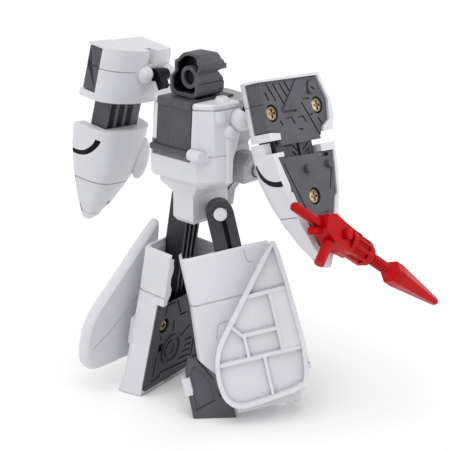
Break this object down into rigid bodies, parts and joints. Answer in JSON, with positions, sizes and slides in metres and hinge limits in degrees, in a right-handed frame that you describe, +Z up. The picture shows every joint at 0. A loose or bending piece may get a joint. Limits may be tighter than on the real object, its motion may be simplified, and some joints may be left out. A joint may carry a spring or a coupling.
{
  "type": "humanoid robot kit",
  "caption": "White and grey transforming toy robot with telescoping arms and legs, a hinged back cover, folding calf wings and a clip-on red gun.",
  "frame": {"origin": "centre of the bounding box on the ground under the feet", "axes": "+Z up, -Y the way the chest faces, +X to the robot's own left"},
  "size_m": [0.1192, 0.0778, 0.1216],
  "materials": {
    "black_plastic": "black moulded plastic",
    "brass": "brassy cross-head screws",
    "grey_plastic": "dark grey moulded plastic, lightly satin",
    "red_plastic": "glossy red moulded plastic",
    "silver_paint": "plastic with sprayed silver-grey paint",
    "white_plastic": "satin white moulded plastic"
  },
  "bodies": {
    "torso": {"chest_front": "silver_paint", "nacelle_left": "silver_paint", "nacelle_right": "silver_paint", "pelvis": "white_plastic", "pelvis_front": "silver_paint", "torso_shell": "white_plastic", "turbine_left": "silver_paint", "turbine_right": "silver_paint"},
    "back_flap": {"back_flap": "grey_plastic"},
    "head": {"face_plate": "silver_paint", "head_shell": "grey_plastic", "visor": "red_plastic"},
    "shoulder_right": {"shoulder_link_right": "black_plastic"},
    "upper_arm_right": {"arm_screw_1_right": "brass", "arm_screw_2_right": "brass", "elbow_link_right": "grey_plastic", "upper_arm_plate_right": "grey_plastic", "upper_arm_shell_right": "white_plastic"},
    "forearm_right": {"forearm_plate_right": "grey_plastic", "forearm_screw_right": "brass", "forearm_shell_right": "white_plastic"},
    "gun": {"gun": "red_plastic"},
    "hip_right": {"hip_pin_right": "white_plastic"},
    "thigh_right": {"thigh_strut_right": "grey_plastic"},
    "shin_right": {"shin_plate_right": "grey_plastic", "shin_screw_right": "brass", "shin_shell_right": "white_plastic"},
    "wing_slide_right": {"wing_slide_right": "white_plastic"},
    "wing_right": {"wing_right": "white_plastic"},
    "heel_right": {"heel_clip_right": "white_plastic", "heel_flap_right": "grey_plastic"},
    "shoulder_left": {"shoulder_link_left": "black_plastic"},
    "upper_arm_left": {"arm_screw_1_left": "brass", "arm_screw_2_left": "brass", "elbow_link_left": "grey_plastic", "upper_arm_plate_left": "grey_plastic", "upper_arm_shell_left": "white_plastic"},
    "forearm_left": {"forearm_plate_left": "grey_plastic", "forearm_screw_left": "brass", "forearm_shell_left": "white_plastic"},
    "hip_left": {"hip_pin_left": "white_plastic"},
    "thigh_left": {"thigh_strut_left": "grey_plastic"},
    "shin_left": {"shin_plate_left": "grey_plastic", "shin_screw_left": "brass", "shin_shell_left": "white_plastic"},
    "wing_slide_left": {"wing_slide_left": "white_plastic"},
    "wing_left": {"wing_left": "white_plastic"}
  },
  "joints": [
    {"name": "back_flap_hinge", "type": "hinge", "parent": "torso", "child": "back_flap", "pos_m": [0.00697, 0.02016, 0.0903], "axis": [-1, 0, 0], "range_deg": [0, 105]},
    {"name": "head_turn", "type": "hinge", "parent": "back_flap", "child": "head", "pos_m": [0.00697, 0.00796, 0.1082], "axis": [0, 0, 1], "range_deg": [-60, 60]},
    {"name": "shoulder_swing_right", "type": "hinge", "parent": "torso", "child": "shoulder_right", "pos_m": [-0.01023, 0.00576, 0.1012], "axis": [1, 0, 0], "range_deg": [-15, 10]},
    {"name": "arm_raise_right", "type": "hinge", "parent": "shoulder_right", "child": "upper_arm_right", "pos_m": [-0.01754, -0.00005, 0.10537], "axis": [-0.0503, 0.9969, 0.0597], "range_deg": [-6, 25]},
    {"name": "elbow_slide_right", "type": "slide", "parent": "upper_arm_right", "child": "forearm_right", "axis": [-0.312, 0.0411, -0.9492], "range_m": [-0.0001, 0.0053]},
    {"name": "gun_turn", "type": "hinge", "parent": "forearm_right", "child": "gun", "pos_m": [-0.04507, 0.00311, 0.07136], "axis": [0.9487, 0.0663, -0.309], "range_deg": [-50, 50]},
    {"name": "hip_splay_right", "type": "hinge", "parent": "torso", "child": "hip_right", "pos_m": [0.00451, 0.00207, 0.06786], "axis": [0.6206, 0.7541, -0.2148], "range_deg": [-2, 8]},
    {"name": "thigh_swing_right", "type": "hinge", "parent": "hip_right", "child": "thigh_right", "pos_m": [-0.00433, 0.00976, 0.0693], "axis": [0.7491, -0.6512, -0.1219], "range_deg": [-40, 20]},
    {"name": "shin_slide_right", "type": "slide", "parent": "thigh_right", "child": "shin_right", "axis": [-0.2318, -0.0853, -0.969], "range_m": [-0.003, 0.004]},
    {"name": "wing_shift_right", "type": "slide", "parent": "shin_right", "child": "wing_slide_right", "axis": [0.6559, 0.7548, -0.0016], "range_m": [0, 0.01863]},
    {"name": "wing_turn_right", "type": "hinge", "parent": "wing_slide_right", "child": "wing_right", "pos_m": [-0.03096, -0.00348, 0.02317], "axis": [0.2318, 0.0853, 0.969], "range_deg": [0, 30]},
    {"name": "heel_turn", "type": "hinge", "parent": "shin_right", "child": "heel_right", "pos_m": [-0.01249, 0.0135, 0.00488], "axis": [0.2318, 0.0853, 0.969], "range_deg": [0, 22]},
    {"name": "shoulder_swing_left", "type": "hinge", "parent": "torso", "child": "shoulder_left", "pos_m": [0.02417, 0.00576, 0.1012], "axis": [1, 0, 0], "range_deg": [-15, 10]},
    {"name": "arm_raise_left", "type": "hinge", "parent": "shoulder_left", "child": "upper_arm_left", "pos_m": [0.0346, 0.00024, 0.10846], "axis": [0.1652, -0.9818, -0.0941], "range_deg": [-6, 25]},
    {"name": "elbow_slide_left", "type": "slide", "parent": "upper_arm_left", "child": "forearm_left", "axis": [0.1737, 0.1229, -0.9771], "range_m": [-0.0073, 0]},
    {"name": "hip_splay_left", "type": "hinge", "parent": "torso", "child": "hip_left", "pos_m": [0.00968, 0.00105, 0.06778], "axis": [0.2105, -0.9774, -0.0172], "range_deg": [-4, 8]},
    {"name": "thigh_swing_left", "type": "hinge", "parent": "hip_left", "child": "thigh_left", "pos_m": [0.01867, 0.00296, 0.0692], "axis": [-0.9666, -0.2055, -0.153], "range_deg": [-20, 40]},
    {"name": "shin_slide_left", "type": "slide", "parent": "thigh_left", "child": "shin_left", "axis": [0.146, 0.0489, -0.9881], "range_m": [-0.007, 0]},
    {"name": "wing_shift_left", "type": "slide", "parent": "shin_left", "child": "wing_slide_left", "axis": [-0.2369, 0.9441, 0.2291], "range_m": [-0.01863, 0]},
    {"name": "wing_turn_left", "type": "hinge", "parent": "wing_slide_left", "child": "wing_left", "pos_m": [0.03143, 0.00823, 0.01872], "axis": [0.146, 0.0489, -0.9881], "range_deg": [-11, 19]}
  ]
}
